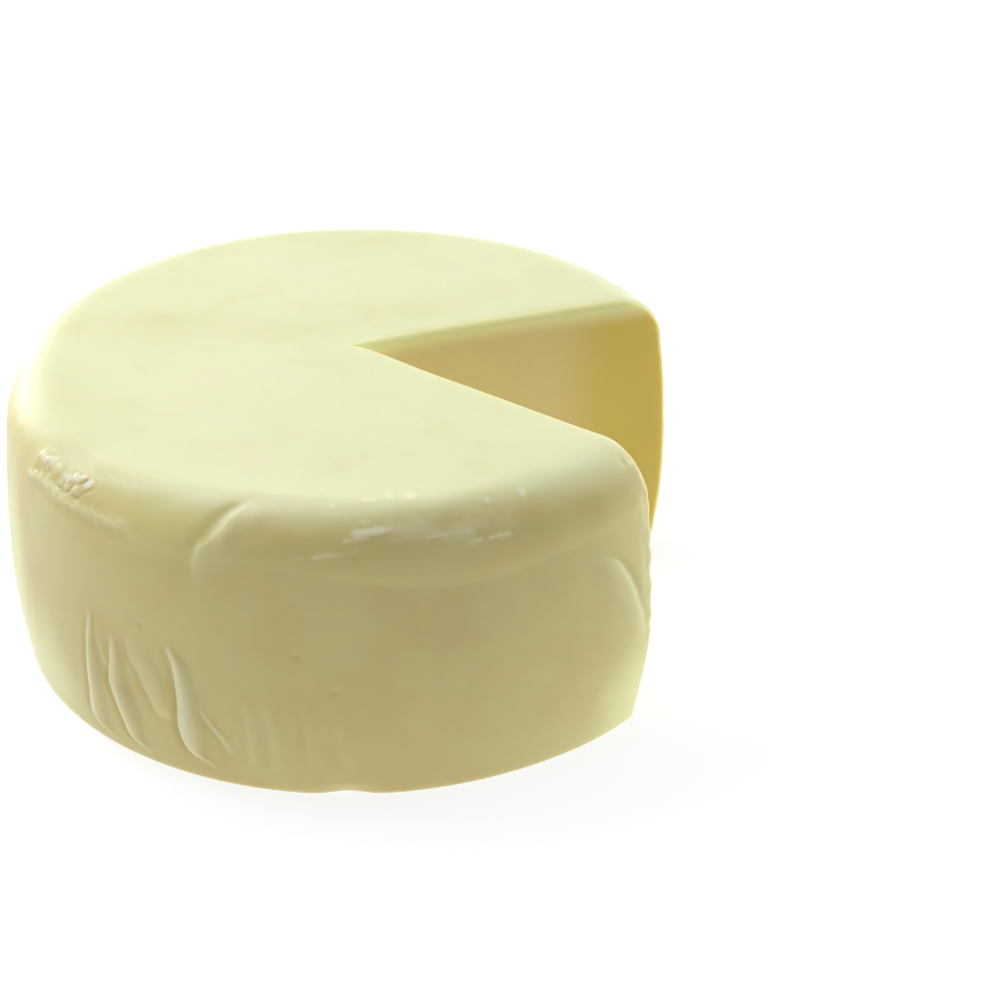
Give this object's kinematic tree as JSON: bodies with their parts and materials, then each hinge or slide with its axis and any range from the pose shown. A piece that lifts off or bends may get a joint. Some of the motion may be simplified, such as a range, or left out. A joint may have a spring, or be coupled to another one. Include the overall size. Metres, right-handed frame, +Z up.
{
  "type": "cheese wheel",
  "caption": "Pale rindless cheese wheel with rounded shoulders, cloth creases at the front and a wedge-shaped notch cut to its middle.",
  "frame": {"origin": "middle of the cut wheel's bounding box on the plane it rests on; the uncut wheel's own axis stands 5.2 mm from it towards +X", "axes": "+Z up along the wheel's axis; the wedge-shaped notch is centred on +X; the creased front is towards -Y"},
  "size_m": [0.195, 0.2059, 0.0858],
  "materials": {
    "cheese": "pale cream cheese, soft satin, slightly translucent at its edges"
  },
  "bodies": {
    "root": {"cheese_wheel": "cheese"}
  },
  "joints": []
}
